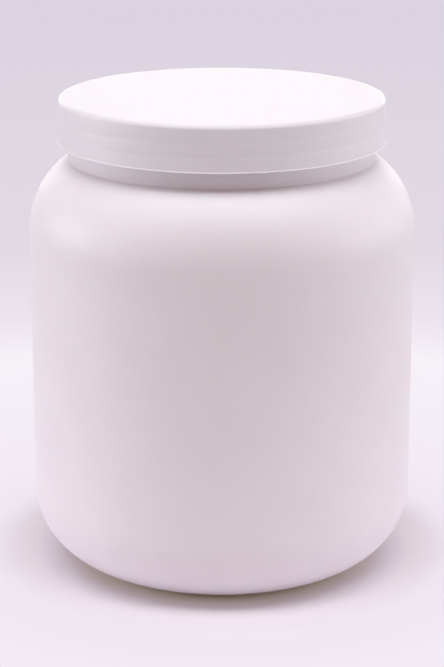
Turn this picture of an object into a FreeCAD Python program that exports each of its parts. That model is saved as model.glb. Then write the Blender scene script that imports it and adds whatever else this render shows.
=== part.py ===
"""Wide-mouth plastic jar, shut with a low screw lid.

Millimetres, +Z up and -Y to the front. The origin is the middle of the plane that the
jar stands on, and Z is the axis that both pieces are turned about.

jar  one closed solid: flat standing ring round a shallow hollow, rounded base corner,
     straight wall, domed shoulder, plain neck band
lid  a cap over the neck: top plate, slightly drafted skirt, soft top edge and lip

The sizes stand once, in the spreadsheet below. The lid takes its bore from the neck
and its seat from the top of the neck, so both follow when a size changes.
"""
import math
import os

import FreeCAD
import Part
import Sketcher

# name, value, what it is. Lengths are millimetres and angles are degrees.
SIZES = [
    ("overall_height", 182.7, "standing plane to the top of the lid"),
    ("body_diameter", 148.0, "across the straight wall"),
    ("base_corner_radius", 28.0, "round between the underside and the wall"),
    ("neck_diameter", 117.4, "across the plain neck band"),
    ("neck_band_height", 6.5, "neck left bare between the shoulder and the lid"),
    ("neck_root_radius", 0.4, "fillet where the neck rises out of the shoulder"),
    ("shoulder_slope", 32.0, "angle from level at which the shoulder meets the neck"),
    ("foot_width", 6.0, "width of the flat ring that the jar stands on"),
    ("hollow_depth", 3.2, "height of the hollow in the underside, at its middle"),
    ("hollow_step", 1.8, "height of the hollow where its sloped side ends"),
    ("hollow_side_slope", 50.0, "angle from level of the hollow's side"),
    ("hollow_edge_radius", 1.0, "fillets at the lower and upper end of that side"),
    ("lid_height", 17.0, "lip to top of the lid"),
    ("lid_plate_thickness", 2.0, "top plate of the lid"),
    ("skirt_thickness", 2.3, "skirt wall, measured at the lip"),
    ("skirt_clearance", 1.75, "free space between the skirt and the neck band"),
    ("skirt_draft", 3.0, "angle by which the skirt narrows towards the top"),
    ("lid_top_radius", 1.5, "fillet round the top of the lid"),
    ("lid_lip_radius", 0.4, "fillet round the outside of the lip"),
]
SIZE = {name: value for name, value, _ in SIZES}

# The same sizes as expressions: what each sketch and feature below is bound to.
BODY_RADIUS = "sizes.body_diameter / 2"
HOLLOW_RADIUS = BODY_RADIUS + " - sizes.base_corner_radius - sizes.foot_width"
NECK_RADIUS = "sizes.neck_diameter / 2"
LID_SEAT = "sizes.overall_height - sizes.lid_plate_thickness"
LIP_HEIGHT = "sizes.overall_height - sizes.lid_height"
NECK_FOOT = LIP_HEIGHT + " - sizes.neck_band_height"
BORE_RADIUS = NECK_RADIUS + " + sizes.skirt_clearance"
LIP_RADIUS = BORE_RADIUS + " + sizes.skirt_thickness"
BORE_DEPTH = "sizes.lid_height - sizes.lid_plate_thickness"

# The numbers of an element's ends and centre, and of a sketch's own origin and upright axis.
START, END, CENTRE = 1, 2, 3
ORIGIN = (-1, START)
UPRIGHT_AXIS = -2

# Heights nearer than this are the same.
LEVEL = 1e-6


def make_size_sheet(doc):
    """Write the driving dimensions into a spreadsheet, one named cell each."""
    sheet = doc.addObject("Spreadsheet::Sheet", "sizes")
    for row, (name, value, meaning) in enumerate(SIZES, start=1):
        sheet.set("A%d" % row, name)
        sheet.set("B%d" % row, str(value))
        sheet.set("C%d" % row, meaning)
        sheet.setAlias("B%d" % row, name)
    doc.recompute()
    return sheet


def make_body(doc, name):
    """Start one piece, under the name that its file takes."""
    body = doc.addObject("PartDesign::Body", name)
    body.Label = name
    return body


def origin_plane(body, role):
    """Find one of the body's own origin planes."""
    return next(plane for plane in body.Origin.OriginFeatures if plane.Role == role)


def make_sketch(body, name, role):
    """Add an empty sketch on one of the body's origin planes."""
    sketch = body.newObject("Sketcher::SketchObject", name)
    sketch.AttachmentSupport = [(origin_plane(body, role), "")]
    sketch.MapMode = "FlatFace"
    return sketch


def bind(sketch, name, constraint, expression):
    """Add a dimension to the sketch and bind it to the sheet."""
    index = sketch.addConstraint(constraint)
    sketch.renameConstraint(index, name)
    sketch.setExpression("Constraints." + name, expression)


def value_of(body, expression):
    """Work out an expression from the sheet's present values."""
    return float(body.evalExpression(expression))


def point(across, up):
    """A point in the plane of a sketch."""
    return FreeCAD.Vector(across, up, 0)


def arc(centre, radius, first, last):
    """An arc in the plane of a sketch, anticlockwise between two angles in degrees."""
    circle = Part.Circle(centre, FreeCAD.Vector(0, 0, 1), radius)
    return Part.ArcOfCircle(circle, math.radians(first), math.radians(last))


def join(sketch, kind, pairs):
    """Join ends of elements: each pair is (element, end, element, end)."""
    for pair in pairs:
        sketch.addConstraint(Sketcher.Constraint(kind, *pair))


def revolve(body, kind, name, sketch):
    """Turn a sketch about the upright axis: a Revolution adds, a Groove cuts."""
    feature = body.newObject("PartDesign::" + kind, name)
    feature.Profile = sketch
    feature.ReferenceAxis = (sketch, ["V_Axis"])
    feature.Angle = 360
    sketch.Visibility = False
    return feature


def ring(shape, height, pick=max):
    """Name of the level circular edge at a height: the widest, or with min the narrowest."""
    widths = {}
    for number, edge in enumerate(shape.Edges, start=1):
        box = edge.BoundBox
        if edge.isClosed() and box.ZLength < LEVEL and abs(box.ZMin - height) < LEVEL:
            widths["Edge%d" % number] = box.XLength
    return pick(widths, key=widths.get)


def round_rings(body, name, base, rings, radius):
    """Fillet rings of a feature, with the radius bound to the sheet."""
    fillet = body.newObject("PartDesign::Fillet", name)
    fillet.Base = (base, rings)
    fillet.setExpression("Radius", radius)
    return fillet


def check_cut(before, after):
    """Stop if a cut has taken nothing away."""
    if after.Shape.Volume >= before.Shape.Volume:
        raise RuntimeError(after.Name + " cuts nothing")


def draw_jar_outline(body):
    """Half section of the jar: underside, corner, wall, shoulder, neck and rim."""
    wall = value_of(body, BODY_RADIUS)
    corner = SIZE["base_corner_radius"]
    neck = value_of(body, NECK_RADIUS)
    neck_foot = value_of(body, NECK_FOOT)
    rim = value_of(body, LID_SEAT)
    sweep = 90 - SIZE["shoulder_slope"]
    shoulder = (wall - neck) / (1 - math.cos(math.radians(sweep)))
    shoulder_start = neck_foot - shoulder * math.sin(math.radians(sweep))
    shoulder_centre = point(wall - shoulder, shoulder_start)

    sketch = make_sketch(body, "JarOutline", "XZ_Plane")
    underside, base, side, dome, band, top, axis, spoke = range(8)
    sketch.addGeometry([
        Part.LineSegment(point(0, 0), point(wall - corner, 0)),
        arc(point(wall - corner, corner), corner, -90, 0),
        Part.LineSegment(point(wall, corner), point(wall, shoulder_start)),
        arc(shoulder_centre, shoulder, 0, sweep),
        Part.LineSegment(point(neck, neck_foot), point(neck, rim)),
        Part.LineSegment(point(neck, rim), point(0, rim)),
        Part.LineSegment(point(0, rim), point(0, 0)),
    ], False)
    sketch.addGeometry([
        Part.LineSegment(shoulder_centre, point(neck, neck_foot)),
    ], True)

    join(sketch, "Coincident", [
        (underside, START, *ORIGIN),
        (dome, END, band, START),
        (band, END, top, START),
        (top, END, axis, START),
        (axis, END, underside, START),
        (spoke, START, dome, CENTRE),
        (spoke, END, dome, END),
    ])
    join(sketch, "Tangent", [
        (underside, END, base, START),
        (base, END, side, START),
        (side, END, dome, START),
    ])
    join(sketch, "Horizontal", [(underside,), (top,)])
    join(sketch, "Vertical", [(side,), (band,), (axis,)])

    bind(sketch, "wall", Sketcher.Constraint("DistanceX", *ORIGIN, side, START, wall), BODY_RADIUS)
    bind(sketch, "corner", Sketcher.Constraint("Radius", base, corner), "sizes.base_corner_radius")
    bind(sketch, "neck", Sketcher.Constraint("DistanceX", *ORIGIN, band, START, neck), NECK_RADIUS)
    bind(sketch, "foot", Sketcher.Constraint("DistanceY", *ORIGIN, band, START, neck_foot), NECK_FOOT)
    bind(sketch, "rim", Sketcher.Constraint("DistanceY", *ORIGIN, band, END, rim), LID_SEAT)
    bind(sketch, "sweep", Sketcher.Constraint("Angle", spoke, math.radians(sweep)),
         "90 - sizes.shoulder_slope")
    return sketch


def draw_hollow(body):
    """Half section of the hollow in the underside: a sloped side under a low dome."""
    edge = value_of(body, HOLLOW_RADIUS)
    step = SIZE["hollow_step"]
    depth = SIZE["hollow_depth"]
    slope = math.radians(SIZE["hollow_side_slope"])
    dome_edge = edge - step / math.tan(slope)
    rise = depth - step
    dome = (dome_edge ** 2 + rise ** 2) / (2 * rise)
    half_angle = math.degrees(math.asin(dome_edge / dome))

    sketch = make_sketch(body, "HollowOutline", "XZ_Plane")
    mouth, side, roof, axis = range(4)
    sketch.addGeometry([
        Part.LineSegment(point(0, 0), point(edge, 0)),
        Part.LineSegment(point(edge, 0), point(dome_edge, step)),
        arc(point(0, depth - dome), dome, 90 - half_angle, 90),
        Part.LineSegment(point(0, depth), point(0, 0)),
    ], False)
    join(sketch, "Coincident", [
        (mouth, START, *ORIGIN),
        (mouth, END, side, START),
        (side, END, roof, START),
        (roof, END, axis, START),
        (axis, END, mouth, START),
    ])
    join(sketch, "PointOnObject", [(roof, CENTRE, UPRIGHT_AXIS)])
    join(sketch, "Horizontal", [(mouth,)])
    join(sketch, "Vertical", [(axis,)])
    bind(sketch, "edge", Sketcher.Constraint("DistanceX", *ORIGIN, mouth, END, edge), HOLLOW_RADIUS)
    bind(sketch, "step", Sketcher.Constraint("DistanceY", *ORIGIN, side, END, step), "sizes.hollow_step")
    bind(sketch, "depth", Sketcher.Constraint("DistanceY", *ORIGIN, roof, END, depth), "sizes.hollow_depth")
    bind(sketch, "slope", Sketcher.Constraint("Angle", side, math.pi - slope),
         "180 - sizes.hollow_side_slope")
    return sketch


def make_jar(doc):
    """The jar: turned outline, hollow underside, soft neck root and soft edges."""
    body = make_body(doc, "jar")
    form = revolve(body, "Revolution", "JarForm", draw_jar_outline(body))
    doc.recompute()

    hollow = revolve(body, "Groove", "Hollow", draw_hollow(body))
    doc.recompute()
    check_cut(form, hollow)

    neck_foot = ring(hollow.Shape, value_of(body, NECK_FOOT))
    neck_root = round_rings(body, "NeckRoot", hollow, [neck_foot], "sizes.neck_root_radius")
    doc.recompute()

    foot_edge = ring(neck_root.Shape, 0, min)
    dome_edge = ring(neck_root.Shape, SIZE["hollow_step"])
    round_rings(body, "HollowEdges", neck_root, [foot_edge, dome_edge], "sizes.hollow_edge_radius")
    doc.recompute()
    return body


def draw_lid_outline(body):
    """Half section of the lid as a solid disc: lip, drafted skirt and top."""
    lip = value_of(body, LIP_RADIUS)
    height = SIZE["lid_height"]
    draft = math.radians(SIZE["skirt_draft"])
    top_radius = lip - height * math.tan(draft)

    sketch = make_sketch(body, "LidOutline", "XZ_Plane")
    lower, skirt, top, axis = range(4)
    sketch.addGeometry([
        Part.LineSegment(point(0, 0), point(lip, 0)),
        Part.LineSegment(point(lip, 0), point(top_radius, height)),
        Part.LineSegment(point(top_radius, height), point(0, height)),
        Part.LineSegment(point(0, height), point(0, 0)),
    ], False)
    join(sketch, "Coincident", [
        (lower, START, *ORIGIN),
        (lower, END, skirt, START),
        (skirt, END, top, START),
        (top, END, axis, START),
        (axis, END, lower, START),
    ])
    join(sketch, "Horizontal", [(lower,), (top,)])
    join(sketch, "Vertical", [(axis,)])
    bind(sketch, "lip", Sketcher.Constraint("DistanceX", *ORIGIN, lower, END, lip), LIP_RADIUS)
    bind(sketch, "height", Sketcher.Constraint("DistanceY", *ORIGIN, axis, START, height),
         "sizes.lid_height")
    bind(sketch, "draft", Sketcher.Constraint("Angle", skirt, math.pi / 2 + draft),
         "90 + sizes.skirt_draft")
    return sketch


def draw_lid_bore(body):
    """Circle of the space that the neck fills, on the plane of the lip."""
    bore = value_of(body, BORE_RADIUS)
    sketch = make_sketch(body, "LidBore", "XY_Plane")
    sketch.addGeometry(Part.Circle(point(0, 0), FreeCAD.Vector(0, 0, 1), bore), False)
    join(sketch, "Coincident", [(0, CENTRE, *ORIGIN)])
    bind(sketch, "bore", Sketcher.Constraint("Radius", 0, bore), BORE_RADIUS)
    return sketch


def make_lid(doc):
    """The lid, modelled with its lip at zero and lifted to its place over the neck."""
    body = make_body(doc, "lid")
    disc = revolve(body, "Revolution", "LidForm", draw_lid_outline(body))
    doc.recompute()

    bore = body.newObject("PartDesign::Pocket", "NeckBore")
    bore.Profile = draw_lid_bore(body)
    bore.Reversed = True
    bore.setExpression("Length", BORE_DEPTH)
    doc.recompute()
    check_cut(disc, bore)

    top = ring(bore.Shape, SIZE["lid_height"])
    top_edge = round_rings(body, "TopEdge", bore, [top], "sizes.lid_top_radius")
    doc.recompute()

    lip = ring(top_edge.Shape, 0)
    round_rings(body, "LipEdge", top_edge, [lip], "sizes.lid_lip_radius")
    body.setExpression("Placement.Base.z", LIP_HEIGHT)
    doc.recompute()
    return body


def check_document(doc, bodies):
    """Stop if an object failed or a piece isn't one sound solid."""
    for item in doc.Objects:
        if "Invalid" in item.State or "Error" in item.State:
            raise RuntimeError("%s: %s" % (item.Name, item.State))
    for body in bodies:
        shape = body.Shape
        if shape.isNull() or not shape.isValid() or len(shape.Solids) != 1:
            raise RuntimeError(body.Label + " isn't one valid solid")


def main():
    doc = FreeCAD.newDocument("plastic_jar")
    make_size_sheet(doc)
    bodies = [make_jar(doc), make_lid(doc)]
    check_document(doc, bodies)
    os.makedirs("parts", exist_ok=True)
    for body in bodies:
        body.Shape.exportStep(os.path.join("parts", body.Label + ".step"))
        box = body.Shape.optimalBoundingBox()
        print("%s: %.1f cm3, %.2f mm across, from %.2f to %.2f mm up"
              % (body.Label, body.Shape.Volume / 1000, box.XLength, box.ZMin, box.ZMax))


main()
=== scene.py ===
"""Wide-mouth plastic jar, shut with a low screw lid: pieces, finishes and studio.

Metres, +Z up and -Y to the front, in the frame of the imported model. The jar and the
lid are turned pieces: each outline is drawn as a half section, turned about the Z axis
by Geometry Nodes, and then given its own low relief.
"""
import math

import bpy
from bpy.props import FloatProperty, FloatVectorProperty, PointerProperty
from bpy.types import Operator, Panel, PropertyGroup
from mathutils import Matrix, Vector


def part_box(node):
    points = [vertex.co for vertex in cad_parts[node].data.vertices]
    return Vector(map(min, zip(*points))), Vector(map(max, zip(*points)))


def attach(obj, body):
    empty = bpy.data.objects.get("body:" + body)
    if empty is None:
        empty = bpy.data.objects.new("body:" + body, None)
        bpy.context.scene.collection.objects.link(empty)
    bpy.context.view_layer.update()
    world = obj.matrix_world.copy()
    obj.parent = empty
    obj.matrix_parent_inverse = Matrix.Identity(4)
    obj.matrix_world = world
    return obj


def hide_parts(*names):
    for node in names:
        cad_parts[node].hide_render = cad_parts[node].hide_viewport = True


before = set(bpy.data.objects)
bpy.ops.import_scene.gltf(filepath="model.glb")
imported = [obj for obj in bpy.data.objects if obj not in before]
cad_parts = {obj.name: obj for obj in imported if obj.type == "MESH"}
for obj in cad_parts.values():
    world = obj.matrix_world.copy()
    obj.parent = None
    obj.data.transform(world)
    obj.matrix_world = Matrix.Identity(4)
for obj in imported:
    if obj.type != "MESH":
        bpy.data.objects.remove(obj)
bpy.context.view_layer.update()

bl_info = {
    "name": "Wide-mouth plastic jar",
    "version": (1, 0, 0),
    "blender": (4, 5, 0),
    "location": "3D View > Sidebar > Jar",
    "description": "A shut wide-mouth plastic jar with a screw lid, its finishes and a plain studio",
    "category": "Object",
}

MM = 0.001
BODY = "root"
JAR_MATERIAL = "blown_polyethylene"
LID_MATERIAL = "moulded_polypropylene"
JAR_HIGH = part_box("jar")[1]
LID_LOW, LID_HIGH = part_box("lid")


# Sizes, finishes and studio settings

def length(name, description, millimetres):
    """A length that a user can change, given in millimetres and kept in metres."""
    return FloatProperty(name=name, description=description, default=millimetres * MM, unit="LENGTH",
                         precision=5)


def angle(name, description, degrees):
    """An angle that a user can change."""
    return FloatProperty(name=name, description=description, default=math.radians(degrees),
                         subtype="ANGLE")


def colour(name, description, red, green, blue):
    """A colour that a user can change, as linear parts."""
    return FloatVectorProperty(name=name, description=description, default=(red, green, blue),
                               subtype="COLOR", min=0, max=1)


def number(name, description, value):
    """A plain number that a user can change."""
    return FloatProperty(name=name, description=description, default=value)


class JarSizes(PropertyGroup):
    base_corner: length("Base corner", "Round between the underside and the wall", 28.0)
    neck_radius: length("Neck radius", "Radius of the plain neck band", 58.7)
    neck_band: length("Neck band", "Neck left bare between the shoulder and the lid", 6.5)
    neck_root: length("Neck root", "Fillet where the neck rises out of the shoulder", 0.4)
    shoulder_slope: angle("Shoulder slope", "Slope at which the shoulder meets the neck", 32.0)
    foot_width: length("Foot width", "Width of the flat ring that the jar stands on", 6.0)
    hollow_depth: length("Hollow depth", "Height of the hollow underneath, at its middle", 3.2)
    hollow_step: length("Hollow step", "Height at which the hollow's sloped side ends", 1.8)
    hollow_slope: angle("Hollow slope", "Slope of the hollow's side", 50.0)
    hollow_edge: length("Hollow edge", "Fillets at both ends of the hollow's side", 1.0)
    unevenness: length("Unevenness", "How far the blown wall leaves its true form", 0.05)
    patch: length("Patch", "Size of one swell of the blown wall", 38.0)
    seam_width: length("Seam width", "Half width of the line where the mould halves met", 0.3)
    seam_height: length("Seam height", "How far that line stands proud", 0.035)
    pinch_length: length("Pinch length", "Length of the weld line across the hollow", 62.0)
    pinch_width: length("Pinch width", "Width of the weld line", 0.9)


class LidSizes(PropertyGroup):
    lip_radius: length("Lip radius", "Radius of the skirt at the lip, without its bead", 62.75)
    skirt: length("Skirt", "Wall of the skirt at the lip", 2.3)
    draft: angle("Draft", "Angle by which the skirt narrows towards the top", 3.0)
    top_edge: length("Top edge", "Round at the top of the skirt", 1.5)
    bead_height: length("Bead height", "Height of the fine bead round the lip", 0.6)
    bead_reach: length("Bead reach", "How far the bead stands out from the skirt", 0.16)
    bead_edge: length("Bead edge", "Rounds of the bead", 0.12)
    inner_edge: length("Inner edge", "Rounds inside the cap", 0.4)
    gate_radius: length("Gate radius", "Radius of the shallow dish round the moulding gate", 2.4)
    gate_depth: length("Gate depth", "Depth of that dish", 0.04)
    turn_pitch: length("Turn pitch", "Rise of the inner thread in one turn", 5.2)
    turn_depth: length("Turn depth", "Depth of the sink mark outside the thread", 0.06)
    turn_width: length("Turn width", "Half width of the sink mark", 1.0)
    turn_height: length("Turn height", "Height of the mark over the lip, at the front", 5.7)
    turn_start: angle("Turn start", "Where the mark starts, to the right of the front", -55.0)
    turn_length: angle("Turn length", "How far round the mark runs", 560.0)


class Finishes(PropertyGroup):
    jar_colour: colour("Jar colour", "White polyethylene of the jar", 0.848, 0.797, 0.876)
    jar_roughness: number("Jar roughness", "Roughness of the blown wall", 0.48)
    jar_cloud: length("Jar clouds", "Size of the faint clouds in the jar's plastic", 30.0)
    jar_grain: length("Jar grain", "Size of the coarser grain of the blown wall", 1.1)
    jar_grain_height: length("Jar grain height", "Height of the coarser grain", 0.012)
    jar_fine: length("Jar fine grain", "Size of the finer grain of the blown wall", 0.35)
    jar_fine_height: length("Jar fine grain height", "Height of the finer grain", 0.006)
    jar_glow: number("Jar glow", "Share of the light that passes into the jar's plastic", 0.45)
    jar_glow_reach: length("Jar glow reach", "How far that light spreads in the plastic", 6.0)
    lid_colour: colour("Lid colour", "White polypropylene of the lid", 0.800, 0.762, 0.845)
    lid_roughness: number("Lid roughness", "Roughness of the moulded lid", 0.42)
    lid_cloud: length("Lid clouds", "Size of the faint clouds in the lid's plastic", 22.0)
    lid_grain: length("Lid grain", "Size of the very fine texture of the lid", 0.6)
    lid_grain_height: length("Lid grain height", "Height of that texture", 0.004)
    lid_glow: number("Lid glow", "Share of the light that passes into the lid's plastic", 0.3)
    lid_glow_reach: length("Lid glow reach", "How far that light spreads in the plastic", 3.0)


class StudioSettings(PropertyGroup):
    lens: FloatProperty(name="Lens", description="Focal length in millimetres", default=115.5)
    camera_height: length("Camera height", "Height over the floor", 329.0)
    camera_back: length("Camera distance", "Distance in front of the jar's axis", 802.6)
    camera_tilt: angle("Camera tilt", "How far the camera looks down", 16.7)
    lamp_scale: number("Lamps", "Scale of the watts of every soft box", 1.0)
    lamp_colour: colour("Lamp colour", "Colour of the soft boxes", 0.933, 0.971, 1.0)
    room: number("Room", "Strength of the light from all round", 0.22)
    room_colour: colour("Room colour", "Colour of the light from all round", 1.0, 0.70, 0.42)
    floor_size: FloatProperty(name="Floor size", description="Width of the paper", default=14.0,
                              unit="LENGTH")


# Outlines

# The longest step between two points of an outline, for each stretch that needs its own.
JAR_STEP = 2 * MM
BORE_STEP = 6 * MM
SKIRT_STEP = 0.4 * MM
LID_TOP_STEP = 4 * MM

# A straight run has a point this far from each end, or at this share of a shorter one.
CRISP_RUN = 0.2 * MM
CRISP_SHARE = 0.3

FEWEST_ARC_STEPS = 8
DOME_MARGIN = 1 * MM  # the dome of the hollow stops this far from its edge, which is rounded
BEAD_TURN = 0.45  # share of the bead's height at which it turns in to the skirt


class Pen:
    """Draws a half section as (radius, height) points, from the axis round to the axis."""

    def __init__(self, start, step):
        self.points = [Vector(start)]
        self.step = step

    def line(self, end):
        """A straight run, with a point close to each end so that rounds stay crisp."""
        start = self.points[-1].copy()
        run = Vector(end) - start
        near = min(CRISP_RUN / max(run.length, MM), CRISP_SHARE)
        count = max(1, math.ceil(run.length / self.step))
        places = [near] + [k / count for k in range(1, count)] + [1 - near, 1]
        self.points += [start + run * place for place in sorted(set(places))]

    def arc(self, centre, radius, first, last):
        """An arc between two angles in radians, about a centre."""
        swing = last - first
        count = max(FEWEST_ARC_STEPS, math.ceil(abs(swing) * radius / self.step))
        for k in range(1, count + 1):
            turn = first + swing * k / count
            self.points.append(Vector(centre) + radius * Vector((math.cos(turn), math.sin(turn))))

    def corner(self, corner, following, radius):
        """A straight run to a corner that is rounded on the way to the following point."""
        corner = Vector(corner)
        back = (self.points[-1] - corner).normalized()
        on = (Vector(following) - corner).normalized()
        half = back.angle(on) / 2
        centre = corner + (back + on).normalized() * radius / math.sin(half)
        first = corner + back * radius / math.tan(half) - centre
        last = corner + on * radius / math.tan(half) - centre
        self.line(centre + first)
        start = math.atan2(first.y, first.x)
        self.arc(centre, radius, start, start - first.angle_signed(last))


def hollow_radius(sizes):
    """Radius of the hollow underneath, inside the ring that the jar stands on."""
    return JAR_HIGH.x - sizes.base_corner - sizes.foot_width


def jar_outline(sizes):
    """Half section of the jar: hollow, foot, corner, wall, shoulder, neck and rim."""
    wall = JAR_HIGH.x
    rim = JAR_HIGH.z
    corner = sizes.base_corner
    foot_in = hollow_radius(sizes)
    dome_edge = foot_in - sizes.hollow_step / math.tan(sizes.hollow_slope)
    rise = sizes.hollow_depth - sizes.hollow_step
    dome = (dome_edge ** 2 + rise ** 2) / (2 * rise)
    dome_end = math.acos((dome_edge - DOME_MARGIN) / dome)

    sweep = math.pi / 2 - sizes.shoulder_slope
    shoulder = (wall - sizes.neck_radius) / (1 - math.cos(sweep))
    neck_foot = LID_LOW.z - sizes.neck_band
    shoulder_centre = Vector((wall - shoulder, neck_foot - shoulder * math.sin(sweep)))
    root = sizes.neck_root
    root_reach = sizes.neck_radius + root - shoulder_centre.x
    root_rise = math.sqrt((shoulder + root) ** 2 - root_reach ** 2)
    root_centre = shoulder_centre + Vector((root_reach, root_rise))
    meet = math.atan2(root_rise, root_reach)

    pen = Pen((0, sizes.hollow_depth), JAR_STEP)
    pen.arc((0, sizes.hollow_depth - dome), dome, math.pi / 2, dome_end)
    pen.corner((dome_edge, sizes.hollow_step), (foot_in, 0), sizes.hollow_edge)
    pen.corner((foot_in, 0), (wall - corner, 0), sizes.hollow_edge)
    pen.line((wall - corner, 0))
    pen.arc((wall - corner, corner), corner, -math.pi / 2, 0)
    pen.line((wall, shoulder_centre.y))
    pen.arc(shoulder_centre, shoulder, 0, meet)
    pen.arc(root_centre, root, meet + math.pi, math.pi)
    pen.line((sizes.neck_radius, rim))
    pen.line((0, rim))
    return pen.points


def lid_outline(sizes):
    """Half section of the lid: under the plate, down the bore, round the lip and over the top."""
    lip = LID_LOW.z
    top = LID_HIGH.z
    seat = JAR_HIGH.z
    bore = sizes.lip_radius - sizes.skirt
    top_radius = sizes.lip_radius - (top - lip) * math.tan(sizes.draft)
    bead = Vector((sizes.lip_radius + sizes.bead_reach, lip))
    bead_low = bead + Vector((0, sizes.bead_height * BEAD_TURN))
    bead_high = Vector((sizes.lip_radius - sizes.bead_height * math.tan(sizes.draft),
                        lip + sizes.bead_height))
    dish = Vector((sizes.gate_radius, top))
    dish_floor = dish - Vector((sizes.gate_depth, sizes.gate_depth))

    pen = Pen((0, seat), BORE_STEP)
    pen.corner((bore, seat), (bore, lip), sizes.inner_edge)
    pen.corner((bore, lip), bead, sizes.inner_edge)
    pen.step = SKIRT_STEP
    pen.corner(bead, bead_low, sizes.bead_edge)
    pen.corner(bead_low, bead_high, sizes.bead_edge)
    pen.corner(bead_high, (top_radius, top), sizes.bead_edge)
    pen.corner((top_radius, top), (0, top), sizes.top_edge)
    pen.step = LID_TOP_STEP
    pen.corner(dish, dish_floor, sizes.gate_depth)
    pen.corner(dish_floor, (0, dish_floor.y), sizes.gate_depth)
    pen.line((0, dish_floor.y))
    return pen.points


# Node trees

class Value:
    """A node's output that can be used in sums. Each operator adds one Math node."""

    def __init__(self, maker, socket):
        self.maker = maker
        self.socket = socket

    def sum(self, operation, *numbers):
        """One Math node over these numbers."""
        return self.maker.add("ShaderNodeMath", {"operation": operation}, dict(enumerate(numbers)))

    def __add__(self, other):
        return self.sum("ADD", self, other)

    def __radd__(self, other):
        return self.sum("ADD", other, self)

    def __sub__(self, other):
        return self.sum("SUBTRACT", self, other)

    def __rsub__(self, other):
        return self.sum("SUBTRACT", other, self)

    def __mul__(self, other):
        return self.sum("MULTIPLY", self, other)

    def __rmul__(self, other):
        return self.sum("MULTIPLY", other, self)

    def __truediv__(self, other):
        return self.sum("DIVIDE", self, other)

    def __rtruediv__(self, other):
        return self.sum("DIVIDE", other, self)

    def __neg__(self):
        return self.sum("MULTIPLY", self, -1)

    def __pow__(self, other):
        return self.sum("POWER", self, other)

    def __abs__(self):
        return self.sum("ABSOLUTE", self)

    def fade(self, start, end):
        """Rises smoothly from 0 at start to 1 at end."""
        return self.maker.add("ShaderNodeMapRange", {"interpolation_type": "SMOOTHSTEP"},
                              {"Value": self, "From Min": start, "From Max": end})


class Maker:
    """Adds nodes to a tree."""

    def __init__(self, tree):
        self.tree = tree

    def add(self, kind, settings=None, values=None, out=0):
        """Adds a node: settings first, then its sockets' values or links. Returns one output."""
        node = self.tree.nodes.new(kind)
        for name, setting in (settings or {}).items():
            if name == "stops":
                self.set_stops(node.color_ramp, setting)
            else:
                setattr(node, name, setting)
        for name, value in (values or {}).items():
            if isinstance(value, Value):
                self.tree.links.new(value.socket, node.inputs[name])
            else:
                node.inputs[name].default_value = value
        return Value(self, node.outputs[out])

    @staticmethod
    def set_stops(ramp, stops):
        """Gives a colour ramp its stops, as (place, colour) pairs."""
        while len(ramp.elements) < len(stops):
            ramp.elements.new(1)
        for element, (place, tint) in zip(ramp.elements, stops):
            element.position = place
            element.color = (*tint, 1)

    def group_input(self, name):
        """The named input of a Geometry Nodes tree."""
        node = self.tree.nodes.new("NodeGroupInput")
        return Value(self, node.outputs[name])

    def parts_of(self, vector):
        """The three parts of a vector."""
        split = self.tree.nodes.new("ShaderNodeSeparateXYZ")
        self.tree.links.new(vector.socket, split.inputs[0])
        return [Value(self, socket) for socket in split.outputs]


def new_shape_tree(name, inputs):
    """An empty Geometry Nodes tree with geometry in and out and the named inputs."""
    tree = bpy.data.node_groups.new(name, "GeometryNodeTree")
    tree.interface.new_socket("Geometry", in_out="INPUT", socket_type="NodeSocketGeometry")
    tree.interface.new_socket("Geometry", in_out="OUTPUT", socket_type="NodeSocketGeometry")
    for label, kind in inputs:
        tree.interface.new_socket(label, in_out="INPUT", socket_type="NodeSocket" + kind)
    return Maker(tree)


def end_shape_tree(make, geometry):
    """Sends geometry to the tree's output, with its material set and nothing left as instances."""
    real = make.add("GeometryNodeRealizeInstances", values={0: geometry})
    done = make.add("GeometryNodeSetMaterial",
                    values={"Geometry": real, "Material": make.group_input("Material")})
    out = make.tree.nodes.new("NodeGroupOutput")
    make.tree.links.new(done.socket, out.inputs[0])
    return make.tree


MERGE_REACH = 0.001 * MM  # points of a turned piece that are nearer than this become one


def turning_tree():
    """Turns an outline, drawn as a curve, about the Z axis."""
    make = new_shape_tree("turned_piece", [
        ("Segments", "Int"),
        ("Path Radius", "Float"),
        ("Material", "Material"),
    ])
    circle = make.add("GeometryNodeCurvePrimitiveCircle", values={
        "Resolution": make.group_input("Segments"),
        "Radius": make.group_input("Path Radius"),
    })
    shell = make.add("GeometryNodeCurveToMesh", values={
        "Curve": circle,
        "Profile Curve": make.group_input("Geometry"),
    })
    closed = make.add("GeometryNodeMergeByDistance", values={
        "Geometry": shell,
        "Distance": MERGE_REACH,
    })
    smooth = make.add("GeometryNodeSetShadeSmooth", values={"Geometry": closed})
    return end_shape_tree(make, smooth)


def push_out(make, geometry, distance):
    """Moves a surface along its own normals."""
    normal = make.add("GeometryNodeInputNormal")
    offset = make.add("ShaderNodeVectorMath", {"operation": "SCALE"}, {0: normal, "Scale": distance})
    return make.add("GeometryNodeSetPosition", values={"Geometry": geometry, "Offset": offset})


# Where the swells of the blown wall start, as a share of the base corner's height, and where
# they start to die out, as a share of the height at which the neck rises.
SWELL_START = 0.3
SWELL_END = 0.96


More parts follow.
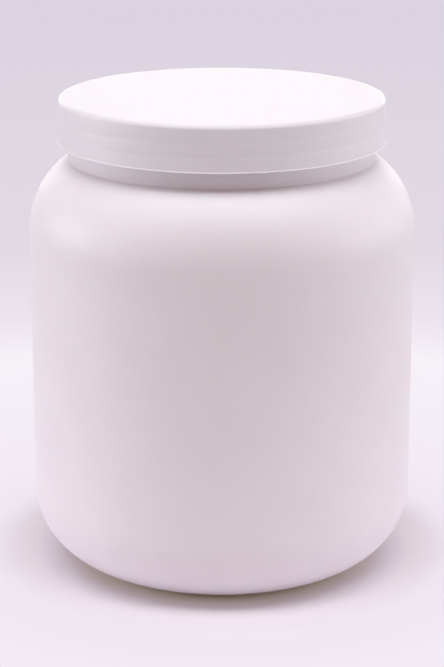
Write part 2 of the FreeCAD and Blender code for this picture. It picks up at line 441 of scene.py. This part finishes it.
def blown_wall_tree():
    """Low swells of a blown wall, which fade out towards the foot and the neck."""
    make = new_shape_tree("blown_wall", [
        ("Unevenness", "Float"),
        ("Patch", "Float"),
        ("Foot", "Float"),
        ("Neck", "Float"),
        ("Material", "Material"),
    ])
    place = make.add("GeometryNodeInputPosition")
    height = make.parts_of(place)[2]
    swell = make.add("ShaderNodeTexNoise", values={
        "Vector": place,
        "Scale": 1 / make.group_input("Patch"),
        "Detail": 1.0,
        "Roughness": 0.4,
    })
    foot = make.group_input("Foot")
    neck = make.group_input("Neck")
    strength = height.fade(foot * SWELL_START, foot) * (1 - height.fade(neck * SWELL_END, neck))
    distance = (swell - 0.5) * 2 * make.group_input("Unevenness") * strength
    return end_shape_tree(make, push_out(make, make.group_input("Geometry"), distance))


MARK_FADE = 0.35  # radians over which the thread's mark starts and ends

# How far in from the lip's radius a surface bears no mark at all, and how far in the whole mark.
MARK_NONE = 1.2 * MM
MARK_ALL = 0.9 * MM


def thread_mark_tree():
    """The shallow sink mark that a thread leaves outside a skirt: one helical groove."""
    make = new_shape_tree("thread_mark", [
        ("Pitch", "Float"),
        ("Depth", "Float"),
        ("Width", "Float"),
        ("Height", "Float"),
        ("Start", "Float"),
        ("Length", "Float"),
        ("Skirt Radius", "Float"),
        ("Material", "Material"),
    ])
    across, along, height = make.parts_of(make.add("GeometryNodeInputPosition"))
    pitch = make.group_input("Pitch")
    end = make.group_input("Length")
    skirt = make.group_input("Skirt Radius")
    bearing = across.sum("ARCTAN2", across, -along) / math.tau
    turns = (height - make.group_input("Height")) / pitch - bearing
    whole = turns.sum("ROUND", turns)
    miss = (turns - whole) * pitch / make.group_input("Width")
    groove = miss.sum("EXPONENT", -(miss * miss))
    travelled = (bearing + whole) * math.tau - make.group_input("Start")
    ends = travelled.fade(0, MARK_FADE) * (1 - travelled.fade(end - MARK_FADE, end))
    radius = (across * across + along * along) ** 0.5
    outside = radius.fade(skirt - MARK_NONE, skirt - MARK_ALL)
    distance = -(groove * ends * outside * make.group_input("Depth"))
    return end_shape_tree(make, push_out(make, make.group_input("Geometry"), distance))


def add_shape_tree(piece, tree, values):
    """Adds a tree to a piece as a modifier and sets its named inputs."""
    modifier = piece.modifiers.new(tree.name, "NODES")
    modifier.node_group = tree
    for item in tree.interface.items_tree:
        if item.in_out == "INPUT" and item.name in values:
            modifier[item.identifier] = values[item.name]


def add_object(name, data):
    """A new object in the scene, at the origin."""
    item = bpy.data.objects.new(name, data)
    bpy.context.scene.collection.objects.link(item)
    return item


def finished_mesh(source, name):
    """The result of a piece's modifiers, as a new plain mesh object at the origin."""
    depsgraph = bpy.context.evaluated_depsgraph_get()
    mesh = bpy.data.meshes.new_from_object(source.evaluated_get(depsgraph), depsgraph=depsgraph)
    mesh.name = name
    bpy.data.objects.remove(source)
    return add_object(name, mesh)


# Finishes

POLYETHYLENE_IOR = 1.54
POLYPROPYLENE_IOR = 1.49
GLOW_SPREAD = (1.0, 0.85, 0.80)  # how far red, green and blue spread in the plastic, as shares
NOISE_RANGE = (0.25, 0.75)  # most of a noise's values lie between these


def new_material(name):
    """An empty node material and its maker."""
    material = bpy.data.materials.new(name)
    material.use_nodes = True
    material.node_tree.nodes.clear()
    return material, Maker(material.node_tree)


def end_shader(make, shader, kind="ShaderNodeOutputMaterial"):
    """Sends a shader to the output of its material or world."""
    out = make.tree.nodes.new(kind)
    make.tree.links.new(shader.socket, out.inputs["Surface"])


def shade(tint, strength):
    """A colour made lighter or darker, as a colour with alpha."""
    return (*[min(channel * strength, 1) for channel in tint], 1)


def noise(make, place, grain, detail=2.0):
    """Even noise from 0 to 1 whose lumps are about one grain across."""
    return make.add("ShaderNodeTexNoise", values={
        "Vector": place,
        "Scale": 1 / grain,
        "Detail": detail,
    })


def blend_tints(make, factor, low, high):
    """A colour between two, by a factor."""
    return make.add("ShaderNodeMix", {"data_type": "RGBA"}, {0: factor, 6: low, 7: high}, out=2)


def mottled(make, tint, cloud, grain, change, cloud_share):
    """A colour made a little lighter and darker by two noises, clouds for the given share."""
    tone = (cloud * cloud_share + grain * (1 - cloud_share)).fade(*NOISE_RANGE)
    return blend_tints(make, tone, shade(tint, 1 - change), shade(tint, 1 + change))


def uneven(middle, cloud, grain, by_cloud, by_grain):
    """A number that two noises raise and lower about its middle."""
    return middle + (cloud - 0.5) * by_cloud + (grain - 0.5) * by_grain


def bump(make, height):
    """A surface normal from a height in metres."""
    return make.add("ShaderNodeBump", values={"Strength": 1.0, "Distance": 1.0, "Height": height})


def jar_plastic(finish, sizes):
    """Blown polyethylene: matte, finely grained, a little cloudy, with its mould line."""
    material, make = new_material(JAR_MATERIAL)
    place = make.add("ShaderNodeTexCoord", out="Object")
    along = make.parts_of(place)[1]
    cloud = noise(make, place, finish.jar_cloud)
    grain = noise(make, place, finish.jar_grain)
    fine = noise(make, place, finish.jar_fine, detail=1.0)

    seam = 1 - abs(along).fade(0, sizes.seam_width)
    height = grain * finish.jar_grain_height + fine * finish.jar_fine_height + seam * sizes.seam_height
    shader = make.add("ShaderNodeBsdfPrincipled", values={
        "Base Color": mottled(make, finish.jar_colour, cloud, grain, change=0.015, cloud_share=0.6),
        "Roughness": uneven(finish.jar_roughness, cloud, grain, by_cloud=0.10, by_grain=0.08),
        "Normal": bump(make, height),
        "IOR": POLYETHYLENE_IOR,
        "Subsurface Weight": finish.jar_glow,
        "Subsurface Radius": GLOW_SPREAD,
        "Subsurface Scale": finish.jar_glow_reach,
    })
    end_shader(make, shader)
    return material


def lid_plastic(finish):
    """Moulded polypropylene: satin, smoother than the jar, with a very fine texture."""
    material, make = new_material(LID_MATERIAL)
    place = make.add("ShaderNodeTexCoord", out="Object")
    cloud = noise(make, place, finish.lid_cloud)
    grain = noise(make, place, finish.lid_grain)

    shader = make.add("ShaderNodeBsdfPrincipled", values={
        "Base Color": mottled(make, finish.lid_colour, cloud, grain, change=0.012, cloud_share=0.7),
        "Roughness": uneven(finish.lid_roughness, cloud, grain, by_cloud=0.08, by_grain=0.06),
        "Normal": bump(make, grain * finish.lid_grain_height),
        "IOR": POLYPROPYLENE_IOR,
        "Subsurface Weight": finish.lid_glow,
        "Subsurface Radius": GLOW_SPREAD,
        "Subsurface Scale": finish.lid_glow_reach,
    })
    end_shader(make, shader)
    return material


# The paper that the jar stands on is seen lit and shadowed out to the first of these distances
# from the jar's axis, and from the second on in set colours with painted light and shade, which no
# cast shadow reaches.
LIT_REACH = 0.076
PAINTED_FROM = 0.10

# The colours of the paper, as (metres from the jar's axis, linear colour): the set ones, with painted
# shade near the jar, a painted bright band and painted shade far off, and the ones that the lamps
# light, with painted warm shade where the jar touches, a painted darker ring round it, and darker far
# off.
# Painted light and shade: darker beside the jar, a painted bright band at 0.265 m, darker again far
# off.
SEEN_PAPER_PAINTED_LIGHT = [
    (0.085, (0.845, 0.772, 0.866)),
    (0.13, (0.893, 0.832, 0.917)),
    (0.20, (0.905, 0.853, 0.930)),
    (0.265, (0.930, 0.881, 0.942)),
    (0.34, (0.836, 0.770, 0.860)),
    (0.49, (0.753, 0.698, 0.773)),
    (1.40, (0.706, 0.650, 0.742)),
]
# Painted warm shade where the jar touches and a painted darker ring round it; brighter just beyond and
# darker far off, to throw more and less light up.
LIT_PAPER_PAINTED_SHADE = [
    (0.054, (0.95, 0.90, 0.78)),
    (0.064, (0.88, 0.83, 0.89)),
    (0.070, (0.82, 0.77, 0.84)),
    (0.085, (0.81, 0.76, 0.83)),
    (0.105, (0.97, 0.92, 0.98)),
    (0.18, (0.97, 0.92, 0.98)),
    (0.50, (0.45, 0.43, 0.45)),
]


def by_distance(make, distance, stops):
    """A colour that changes with the distance from the jar's axis."""
    first, last = stops[0][0], stops[-1][0]
    places = [((edge - first) / (last - first), tint) for edge, tint in stops]
    return make.add("ShaderNodeValToRGB", {"stops": places},
                    {"Fac": (distance - first) / (last - first)})


def studio_paper():
    """Pale paper: lit and shadowed near the jar with painted shade there, in set colours with painted
    light and shade further off, clear from below.
    """
    material, make = new_material("studio_paper")
    place = make.add("ShaderNodeTexCoord", out="Object")
    across, along, _ = make.parts_of(place)
    distance = (across * across + along * along) ** 0.5
    light_path = make.tree.nodes.new("ShaderNodeLightPath")
    camera = Value(make, light_path.outputs["Is Camera Ray"])
    glossy = Value(make, light_path.outputs["Is Glossy Ray"])
    seen = camera.sum("MAXIMUM", camera, glossy)

    # The lit paper carries the painted warm shade and the painted darker ring near the jar.
    paper = make.add("ShaderNodeBsdfDiffuse", values={"Color": by_distance(make, distance, LIT_PAPER_PAINTED_SHADE)})
    # The set colours, with their painted light and shade, shine for camera and glossy rays.
    glow = make.add("ShaderNodeEmission", values={"Color": by_distance(make, distance, SEEN_PAPER_PAINTED_LIGHT)})
    far = distance.fade(LIT_REACH, PAINTED_FROM)
    front = make.add("ShaderNodeMixShader", values={0: seen * far, 1: paper, 2: glow})
    clear = make.add("ShaderNodeBsdfTransparent")
    behind = make.add("ShaderNodeNewGeometry", out="Backfacing")
    end_shader(make, make.add("ShaderNodeMixShader", values={0: behind * camera, 1: front, 2: clear}))
    return material


# Pieces

# An outline is drawn this much nearer to the axis, and carried round a circle of this radius.
PATH_RADIUS = 10 * MM

JAR_SEGMENTS = 320
LID_SEGMENTS = 384

WELD_STATIONS = 48
WELD_RIBS = 9
WELD_FLATNESS = 0.6  # height of the weld line as a share of its half width
WELD_END = 0.02  # what is left, at its ends, of the square of its full reach


def turned_piece(name, points, segments, material, relief):
    """A turned piece: its outline as a curve, turned about Z, with its relief tree added after."""
    curve = bpy.data.curves.new(name + "_outline", "CURVE")
    curve.dimensions = "2D"
    spline = curve.splines.new("POLY")
    spline.points.add(len(points) - 1)
    for spot, place in zip(spline.points, reversed(points)):
        spot.co = (place.x - PATH_RADIUS, -place.y, 0, 1)
    outline = add_object(name + "_outline", curve)
    add_shape_tree(outline, turning_tree(), {
        "Segments": segments,
        "Path Radius": PATH_RADIUS,
        "Material": material,
    })
    shell = finished_mesh(outline, name + "_shell")
    tree, values = relief
    add_shape_tree(shell, tree, {**values, "Material": material})
    return finished_mesh(shell, name)


def as_part(piece, slot, *nodes):
    """Makes a piece ride with the jar, in place of its CAD nodes. Its finish slot is not used."""
    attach(piece, BODY)
    if nodes:
        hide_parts(*nodes)


def build_jar(sizes, finish):
    """The blown jar with its neck, in place of the CAD jar."""
    wall_relief = (blown_wall_tree(), {
        "Unevenness": sizes.unevenness,
        "Patch": sizes.patch,
        "Foot": sizes.base_corner,
        "Neck": LID_LOW.z - sizes.neck_band,
    })
    piece = turned_piece("jar_wall", jar_outline(sizes), JAR_SEGMENTS, jar_plastic(finish, sizes),
                         wall_relief)
    as_part(piece, "jar_plastic", "jar")


def build_weld_line(sizes):
    """The raised line across the hollow underneath, in the jar's own plastic."""
    half_length = sizes.pinch_length / 2
    half_width = sizes.pinch_width / 2
    rise = sizes.hollow_depth - sizes.hollow_step
    verts = []
    for station in range(WELD_STATIONS):
        along = 2 * station / (WELD_STATIONS - 1) - 1
        roof = sizes.hollow_depth - rise * (along * half_length / hollow_radius(sizes)) ** 2
        reach = half_width * math.sqrt(max(1 - along ** 6, WELD_END))
        for rib in range(WELD_RIBS):
            turn = math.tau * rib / WELD_RIBS
            verts.append((along * half_length, reach * math.sin(turn),
                          roof - WELD_FLATNESS * reach * math.cos(turn)))
    faces = []
    last = (WELD_STATIONS - 1) * WELD_RIBS
    for row in range(0, last, WELD_RIBS):
        for rib in range(WELD_RIBS):
            low, high = row + rib, row + (rib + 1) % WELD_RIBS
            faces.append((low, high, high + WELD_RIBS, low + WELD_RIBS))
    faces.append(tuple(reversed(range(WELD_RIBS))))
    faces.append(tuple(range(last, last + WELD_RIBS)))
    mesh = bpy.data.meshes.new("weld_line")
    mesh.from_pydata(verts, [], faces)
    mesh.shade_smooth()
    mesh.materials.append(bpy.data.materials[JAR_MATERIAL])
    as_part(add_object("weld_line", mesh), "jar_plastic")


def build_lid(sizes, finish):
    """The moulded screw lid, in place of the CAD lid."""
    marks = (thread_mark_tree(), {
        "Pitch": sizes.turn_pitch,
        "Depth": sizes.turn_depth,
        "Width": sizes.turn_width,
        "Height": LID_LOW.z + sizes.turn_height,
        "Start": sizes.turn_start,
        "Length": sizes.turn_length,
        "Skirt Radius": sizes.lip_radius,
    })
    piece = turned_piece("lid_cap", lid_outline(sizes), LID_SEGMENTS, lid_plastic(finish), marks)
    as_part(piece, "lid_plastic", "lid")


# Studio

def build_floor(studio):
    """A wide sheet of paper under the jar."""
    half = studio.floor_size / 2
    mesh = bpy.data.meshes.new("paper")
    mesh.from_pydata([(-half, -half, 0), (half, -half, 0), (half, half, 0), (-half, half, 0)], [],
                     [(0, 1, 2, 3)])
    mesh.materials.append(studio_paper())
    add_object("paper", mesh)


# The soft boxes, as (name, bearing, elevation, distance, width, height, watts), in metres and
# degrees. Bearings run from the front to the right, and elevations up from level.
SOFT_BOXES = [
    ("top_front", 0, 69, 1.2, 1.4, 0.25, 8.1),
    ("top_middle", 0, 81, 1.2, 1.4, 0.20, 4.2),
    ("top_rear", 180, 85, 1.2, 1.4, 0.20, 1.2),
    ("left_front", -66, 8, 1.4, 0.8, 0.4, 1.4),
    ("left_side", -95, 8, 1.4, 0.9, 0.4, 6.3),
    ("right_front", 66, 8, 1.4, 0.8, 0.4, 1.8),
    ("right_side", 95, 8, 1.4, 0.9, 0.4, 4.1),
    ("right_rear", 125, 8, 1.4, 0.9, 0.5, 1.9),
    ("rear", 180, 11, 1.33, 1.8, 0.5, 7.2),
]


def build_lamps(studio):
    """Soft boxes overhead, on both sides and behind, which face the jar and aren't seen."""
    middle = Vector((0, 0, JAR_HIGH.z / 2))
    for name, bearing, elevation, distance, width, height, watts in SOFT_BOXES:
        turn, rise = math.radians(bearing), math.radians(elevation)
        towards = Vector((math.sin(turn) * math.cos(rise), -math.cos(turn) * math.cos(rise),
                          math.sin(rise)))
        lamp = bpy.data.lights.new(name, "AREA")
        lamp.shape = "RECTANGLE"
        lamp.size = width
        lamp.size_y = height
        lamp.energy = watts * studio.lamp_scale
        lamp.color = studio.lamp_colour
        box = add_object(name, lamp)
        box.location = middle + towards * distance
        box.rotation_euler = towards.to_track_quat("Z", "Y").to_euler()
        box.visible_camera = False


def build_world(studio):
    """Even light from all round, behind a backdrop of the far paper's tint."""
    world = bpy.data.worlds.new("room")
    world.use_nodes = True
    world.node_tree.nodes.clear()
    make = Maker(world.node_tree)
    camera = make.add("ShaderNodeLightPath", out="Is Camera Ray")
    room = make.add("ShaderNodeBackground", values={"Color": (*studio.room_colour, 1),
                                                    "Strength": studio.room})
    far_paper = SEEN_PAPER_PAINTED_LIGHT[-1][1]
    backdrop = make.add("ShaderNodeBackground", values={"Color": (*far_paper, 1)})
    shader = make.add("ShaderNodeMixShader", values={0: camera, 1: room, 2: backdrop})
    end_shader(make, shader, "ShaderNodeOutputWorld")
    bpy.context.scene.world = world


def build_camera(studio):
    """The camera, level from side to side and looking down on the jar."""
    data = bpy.data.cameras.new("camera")
    data.lens = studio.lens
    camera = add_object("camera", data)
    camera.location = (0, -studio.camera_back, studio.camera_height)
    camera.rotation_euler = (math.pi / 2 - studio.camera_tilt, 0, 0)
    bpy.context.scene.camera = camera


# Operators, panel and registration

class JAR_OT_jar(Operator):
    """Builds the blown jar with its neck"""
    bl_idname = "jar.jar"
    bl_label = "Build jar"

    def execute(self, context):
        scene = context.scene
        build_jar(scene.jar_sizes, scene.jar_finishes)
        return {"FINISHED"}


class JAR_OT_weld_line(Operator):
    """Builds the raised weld line across the hollow underneath"""
    bl_idname = "jar.weld_line"
    bl_label = "Build weld line"

    def execute(self, context):
        build_weld_line(context.scene.jar_sizes)
        return {"FINISHED"}


class JAR_OT_lid(Operator):
    """Builds the moulded screw lid"""
    bl_idname = "jar.lid"
    bl_label = "Build lid"

    def execute(self, context):
        scene = context.scene
        build_lid(scene.lid_sizes, scene.jar_finishes)
        return {"FINISHED"}


class JAR_OT_studio(Operator):
    """Sets up the floor, lamps, room light and camera"""
    bl_idname = "jar.studio"
    bl_label = "Set up studio"

    def execute(self, context):
        studio = context.scene.jar_studio
        context.scene.view_settings.view_transform = "Standard"
        build_floor(studio)
        build_lamps(studio)
        build_world(studio)
        build_camera(studio)
        return {"FINISHED"}


class JAR_PT_panel(Panel):
    """Lists the pieces and the studio in the sidebar"""
    bl_label = "Plastic jar"
    bl_space_type = "VIEW_3D"
    bl_region_type = "UI"
    bl_category = "Jar"

    def draw(self, context):
        for operator in OPERATORS:
            self.layout.operator(operator.bl_idname)
        for name in SETTINGS:
            box = self.layout.box()
            settings = getattr(context.scene, name)
            for field in settings.__annotations__:
                box.prop(settings, field)


OPERATORS = (JAR_OT_jar, JAR_OT_weld_line, JAR_OT_lid, JAR_OT_studio)
SETTINGS = {
    "jar_sizes": JarSizes,
    "lid_sizes": LidSizes,
    "jar_finishes": Finishes,
    "jar_studio": StudioSettings,
}


def register():
    """Registers the settings, operators and panel."""
    for group in SETTINGS.values():
        bpy.utils.register_class(group)
    for item in (*OPERATORS, JAR_PT_panel):
        bpy.utils.register_class(item)
    for name, group in SETTINGS.items():
        setattr(bpy.types.Scene, name, PointerProperty(type=group))


def unregister():
    """Unregisters the settings, operators and panel."""
    for name in SETTINGS:
        delattr(bpy.types.Scene, name)
    for item in (JAR_PT_panel, *OPERATORS, *SETTINGS.values()):
        bpy.utils.unregister_class(item)


def main():
    """Builds every piece and the studio."""
    register()
    bpy.ops.jar.jar()
    bpy.ops.jar.weld_line()
    bpy.ops.jar.lid()
    bpy.ops.jar.studio()


if __name__ == "__main__":
    main()
